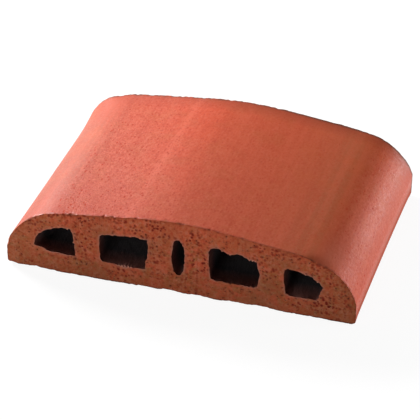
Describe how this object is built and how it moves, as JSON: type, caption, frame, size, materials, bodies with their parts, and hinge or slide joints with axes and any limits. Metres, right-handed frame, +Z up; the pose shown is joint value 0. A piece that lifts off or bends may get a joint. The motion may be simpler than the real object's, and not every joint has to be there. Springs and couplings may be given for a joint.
{
  "type": "coping brick",
  "caption": "Extruded clay coping for the top of a wall: flat bed, upright sides, rounded shoulders, gently falling flanks that meet in a rounded crown, and through cells along its length.",
  "frame": {"origin": "middle of the flat bed", "axes": "+X across the wall, +Y along the wall and along the cells, +Z up from the bed to the crown"},
  "size_m": [0.3, 0.215, 0.0675],
  "materials": {
    "fired_clay": "matt red fired clay, smooth extruded skin, rough cut ends"
  },
  "bodies": {
    "root": {"coping_brick": "fired_clay"}
  },
  "joints": []
}
